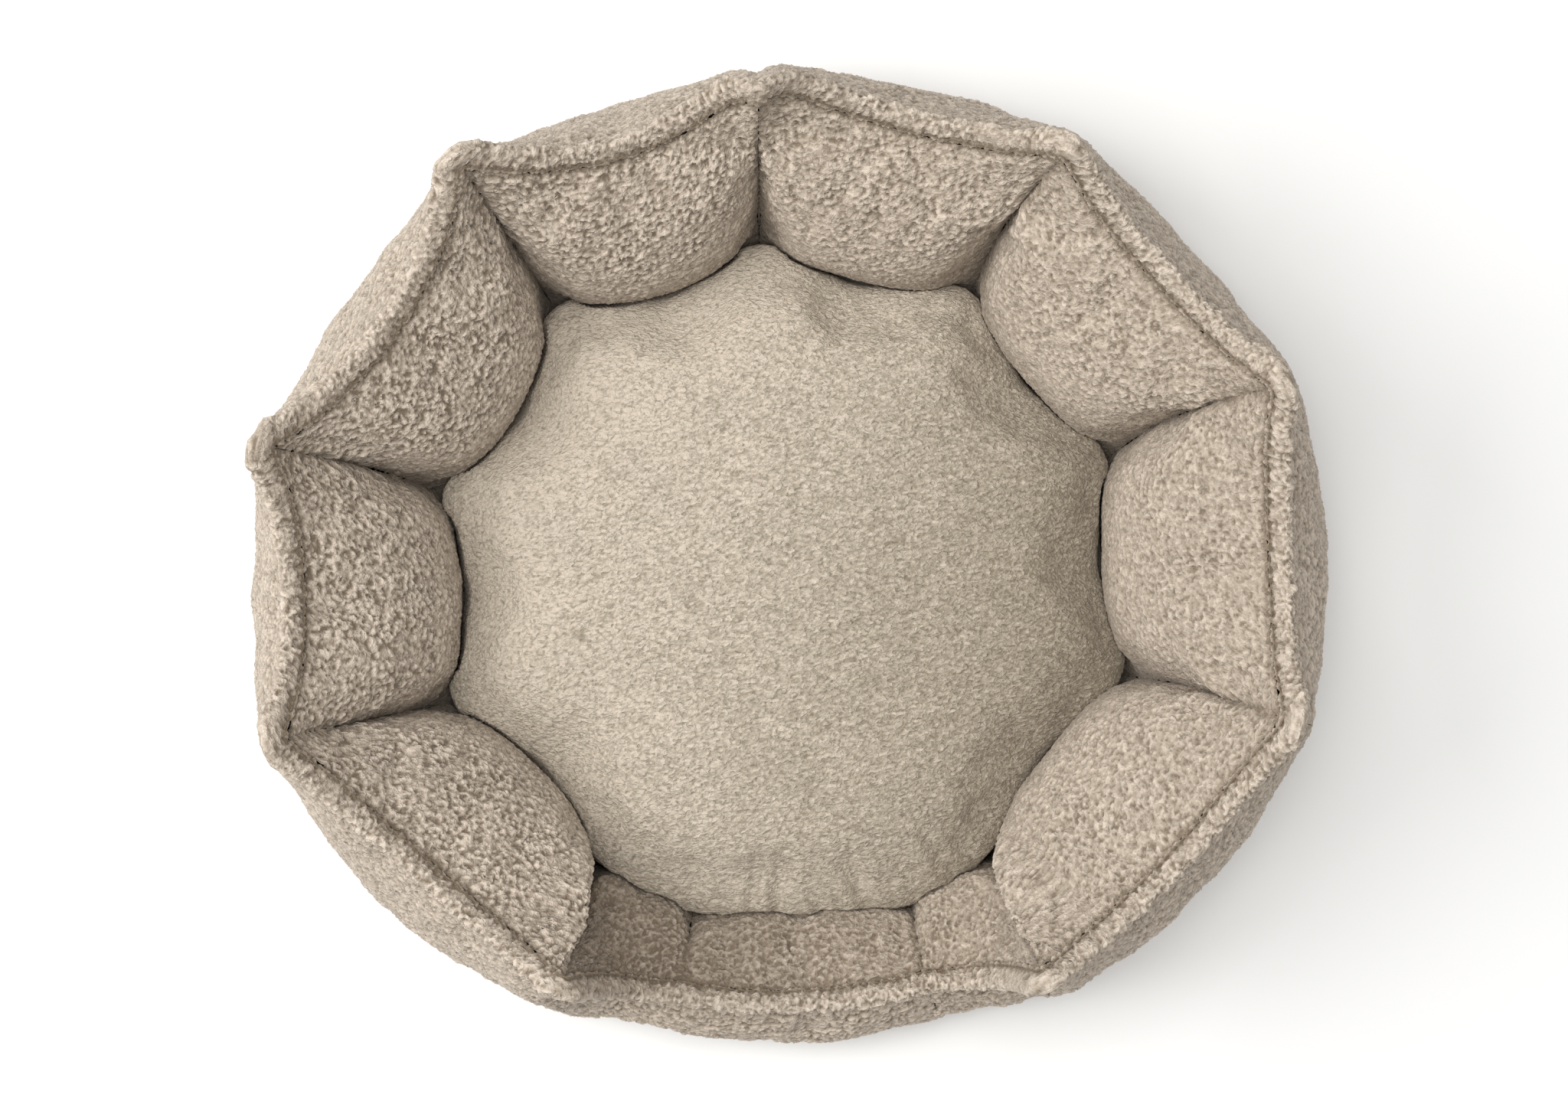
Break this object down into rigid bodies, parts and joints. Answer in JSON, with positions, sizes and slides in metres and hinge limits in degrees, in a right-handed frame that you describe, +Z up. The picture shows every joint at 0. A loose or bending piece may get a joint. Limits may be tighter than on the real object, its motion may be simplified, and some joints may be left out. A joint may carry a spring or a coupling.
{
  "type": "pet cushion bed",
  "caption": "Round plush pet bed: stuffed petal-shaped wall pockets with a scalloped stitched rim, a low scooped entrance and a loose zipped cushion lying in the nest.",
  "frame": {"origin": "on the floor under the middle of the bed", "axes": "+Z up, the low entrance faces -Y, +X to the right for someone who looks at the entrance from the back"},
  "size_m": [0.6002, 0.5436, 0.2],
  "materials": {
    "teddy": "deep curly teddy plush",
    "binding": "folded plush with a topstitched line",
    "plush": "short brushed plush",
    "wadding": "polyester fibre filling",
    "lining": "plain woven lining",
    "ground": "woven sheet with non-slip dots",
    "zip_fabric": "woven zip tape",
    "zip_coil": "nylon coil",
    "zip_metal": "plain die-cast"
  },
  "bodies": {
    "bed": {"divider_back": "lining", "divider_back_left": "lining", "divider_back_right": "lining", "divider_entry_left": "lining", "divider_entry_right": "lining", "divider_gate_left": "lining", "divider_gate_right": "lining", "divider_left_front": "lining", "divider_left_rear": "lining", "divider_right_front": "lining", "divider_right_rear": "lining", "floor_fabric": "lining", "floor_pad": "wadding", "ground_sheet": "ground", "inner_panel_back_left": "teddy", "inner_panel_back_right": "teddy", "inner_panel_entry": "teddy", "inner_panel_entry_left": "teddy", "inner_panel_entry_right": "teddy", "inner_panel_left": "teddy", "inner_panel_left_front": "teddy", "inner_panel_left_rear": "teddy", "inner_panel_right": "teddy", "inner_panel_right_front": "teddy", "inner_panel_right_rear": "teddy", "outer_panel_back_left": "teddy", "outer_panel_back_right": "teddy", "outer_panel_entry": "teddy", "outer_panel_entry_left": "teddy", "outer_panel_entry_right": "teddy", "outer_panel_left": "teddy", "outer_panel_left_front": "teddy", "outer_panel_left_rear": "teddy", "outer_panel_right": "teddy", "outer_panel_right_front": "teddy", "outer_panel_right_rear": "teddy", "rim_binding": "binding", "wall_fill_back_left": "wadding", "wall_fill_back_right": "wadding", "wall_fill_entry": "wadding", "wall_fill_entry_left": "wadding", "wall_fill_entry_right": "wadding", "wall_fill_left": "wadding", "wall_fill_left_front": "wadding", "wall_fill_left_rear": "wadding", "wall_fill_right": "wadding", "wall_fill_right_front": "wadding", "wall_fill_right_rear": "wadding"},
    "cushion": {"cushion_fill": "wadding", "cushion_top_cover": "plush", "cushion_underside_back": "plush", "cushion_underside_front": "plush", "zip_coil_back": "zip_coil", "zip_coil_front": "zip_coil", "zip_stop_left": "zip_metal", "zip_stop_right": "zip_metal", "zip_tape_back": "zip_fabric", "zip_tape_front": "zip_fabric"},
    "zip_slider": {"zip_slider": "zip_metal"}
  },
  "joints": [
    {"name": "cushion_lift", "type": "slide", "parent": "bed", "child": "cushion", "axis": [0, 0, 1], "range_m": [0, 0.3]},
    {"name": "zip_slide", "type": "slide", "parent": "cushion", "child": "zip_slider", "axis": [-1, 0, 0], "range_m": [0, 0.19]}
  ]
}
